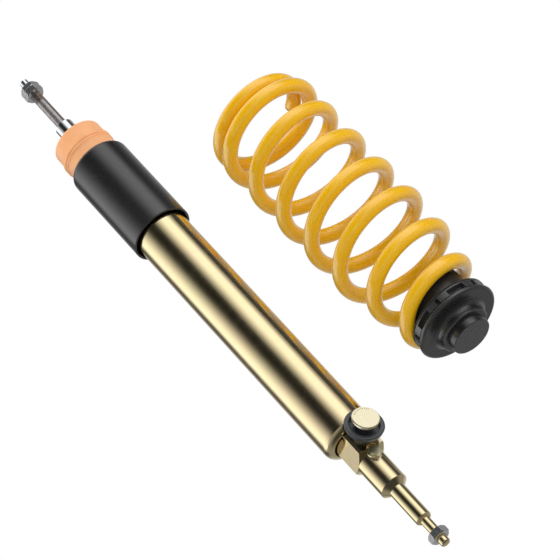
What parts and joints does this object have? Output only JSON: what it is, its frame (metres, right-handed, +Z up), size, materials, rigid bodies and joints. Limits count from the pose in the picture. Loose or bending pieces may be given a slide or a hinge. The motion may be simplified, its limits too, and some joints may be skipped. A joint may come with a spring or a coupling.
{
  "type": "rear coilover set",
  "caption": "Telescopic damper with adjuster knob, bump stop and dust cover, beside a coil spring on a threaded height adjuster.",
  "frame": {"origin": "on the damper's axis, at the shoulder where the lower mounting pin begins", "axes": "+Z up along the damper towards the piston rod, -Y towards the adjuster knob, +X towards the spring"},
  "size_m": [0.252, 0.1142, 0.6437],
  "materials": {
    "gold_zinc": "polished, yellow zinc plated",
    "steel": "machined",
    "zinc": "bright zinc plated",
    "rod_chrome": "hard chromed shaft, dark threaded stem",
    "rubber": "moulded",
    "bronze": "sintered",
    "brass": "turned",
    "plug_gold": "turned, pale",
    "gold_cap": "pale gold anodised",
    "black_knob": "satin moulded",
    "foam": "microcellular polyurethane, peach",
    "cover_black": "satin moulded",
    "ptfe": "low friction plastic",
    "spring_yellow": "gloss powder coat",
    "adjuster_black": "black anodised",
    "seat_black": "black anodised"
  },
  "bodies": {
    "damper_body": {"body_tube": "gold_zinc", "closing_ring": "steel", "rod_wiper": "rubber", "oil_seal": "rubber", "rod_guide": "steel", "guide_bushing": "bronze", "working_tube": "steel", "foot_valve": "steel", "foot_valve_shims": "steel", "foot_valve_bolt": "steel", "base_block": "gold_zinc", "adjuster_housing": "steel", "housing_seal": "rubber", "detent_washer": "steel", "bleed_plug": "plug_gold", "bottom_nut": "zinc", "adjuster_base": "adjuster_black", "retaining_ring": "steel"},
    "band_carrier": {"piston_band": "ptfe"},
    "rod": {"piston_rod": "rod_chrome", "top_nut": "zinc", "lock_nut": "zinc", "bump_stop": "foam", "dust_cover": "cover_black", "rebound_stop": "ptfe", "compression_shims": "steel", "piston": "steel", "rebound_shims": "steel", "piston_nut": "steel"},
    "rebound_spindle": {"rebound_spindle": "brass"},
    "rebound_needle": {"rebound_needle": "brass"},
    "knob": {"knob_skirt": "black_knob", "knob_cap": "gold_cap", "knob_spindle": "brass"},
    "metering_needle": {"metering_needle": "brass"},
    "spring_carrier": {"spring_seat": "seat_black", "slip_ring": "ptfe", "coil_spring": "spring_yellow"},
    "adjusting_ring": {"adjusting_ring": "adjuster_black"}
  },
  "joints": [
    {"name": "rod_slide", "type": "slide", "parent": "damper_body", "child": "band_carrier", "axis": [0, 0, -1], "range_m": [0, 0.0725], "stiffness_N_per_m": 400, "springref_m": -0.5, "deforming": ["coil_spring"]},
    {"name": "rod_spin", "type": "hinge", "parent": "band_carrier", "child": "rod", "pos_m": [0, 0, 0.306], "axis": [0, 0, 1], "continuous": true},
    {"name": "rebound_turn", "type": "hinge", "parent": "rod", "child": "rebound_spindle", "pos_m": [0, 0, 0.57], "axis": [0, 0, 1], "range_deg": [-180.5, 180.5]},
    {"name": "rebound_needle_slide", "type": "slide", "parent": "rod", "child": "rebound_needle", "axis": [0, 0, 1], "range_m": [-0.0005, 0.0005]},
    {"name": "knob_turn", "type": "hinge", "parent": "damper_body", "child": "knob", "pos_m": [0, -0.03, 0.0527], "axis": [0, -1, 0], "range_deg": [-180, 180]},
    {"name": "needle_slide", "type": "slide", "parent": "damper_body", "child": "metering_needle", "axis": [0, -1, 0], "range_m": [-0.0005, 0.0005]},
    {"name": "seat_rise", "type": "slide", "parent": "damper_body", "child": "spring_carrier", "axis": [0, 0, 1], "range_m": [0, 0.02]},
    {"name": "ring_turn", "type": "hinge", "parent": "spring_carrier", "child": "adjusting_ring", "pos_m": [0.1655, 0, 0.135], "axis": [0, 0, 1], "range_deg": [0, 3605]}
  ],
  "couplings": [
    {"joint": "rebound_turn", "follows": "rebound_needle_slide", "rad_per_m": 6283.2},
    {"joint": "needle_slide", "follows": "knob_turn", "m_per_rad": 0.00015915},
    {"joint": "ring_turn", "follows": "seat_rise", "rad_per_m": 3141.6}
  ]
}
